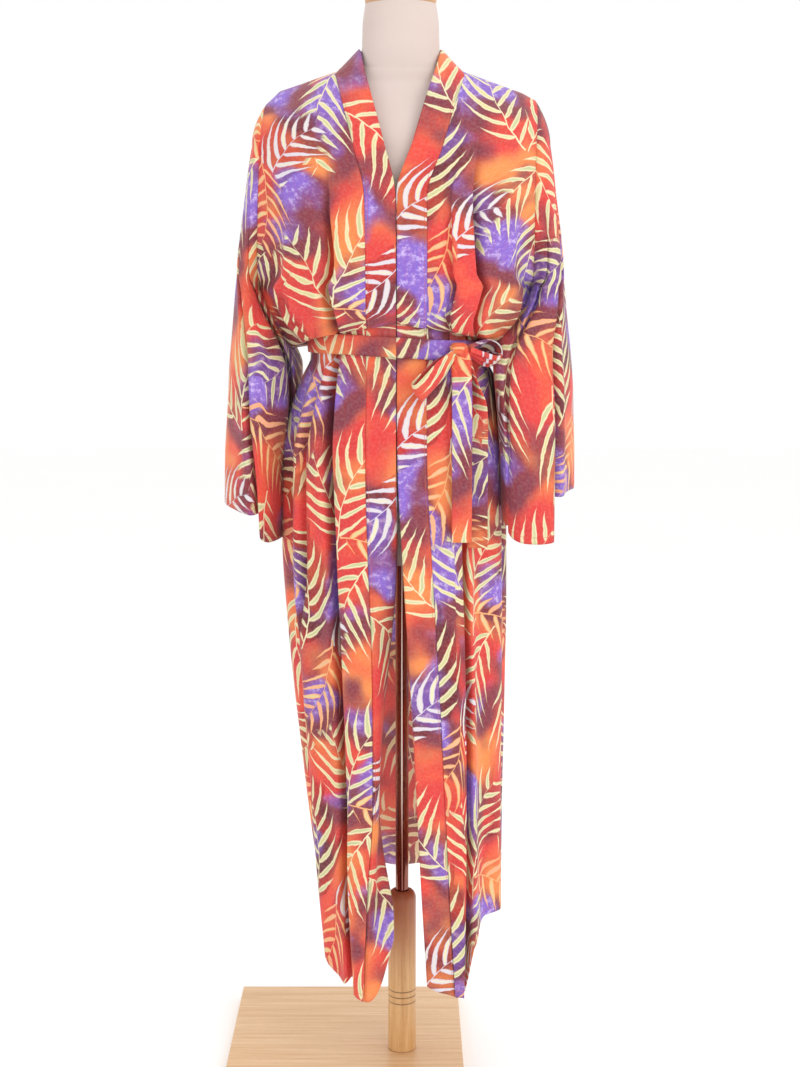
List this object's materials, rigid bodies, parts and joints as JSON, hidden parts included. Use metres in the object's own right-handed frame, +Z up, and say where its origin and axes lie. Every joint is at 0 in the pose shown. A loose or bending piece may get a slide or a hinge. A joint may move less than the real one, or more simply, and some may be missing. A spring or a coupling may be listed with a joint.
{
  "type": "kimono robe on a dress form",
  "caption": "Long open-front kimono robe with wide straight sleeves, a folded neck band and a tied belt, worn on a limbless dress form on a wooden stand.",
  "frame": {"origin": "on the pole's axis, at the underside of the base board", "axes": "+Z up along the pole, -Y towards the front of the robe, +X towards the wearer's left"},
  "size_m": [0.5031, 0.362, 1.5483],
  "materials": {
    "body_cloth": "printed batik rayon, smooth plain weave with a low sheen",
    "sleeve_cloth": "printed batik rayon, smooth plain weave with a low sheen",
    "band_cloth": "printed batik rayon, folded double",
    "belt_cloth": "printed batik rayon, folded double",
    "form_cover": "tight off-white jersey",
    "beech": "satin varnish",
    "chromed_steel": "polished"
  },
  "bodies": {
    "root": {"front_right_panel": "body_cloth", "front_left_panel": "body_cloth", "back_panel": "body_cloth", "sleeve_right": "sleeve_cloth", "sleeve_left": "sleeve_cloth", "neck_band": "band_cloth", "belt_waist": "belt_cloth", "belt_loop_right": "belt_cloth", "belt_loop_left": "belt_cloth", "belt_tail_right": "belt_cloth", "belt_tail_left": "belt_cloth", "belt_knot": "belt_cloth", "form_torso": "form_cover", "neck_cap": "beech", "pole": "chromed_steel", "post": "beech", "base_board": "beech"}
  },
  "joints": []
}
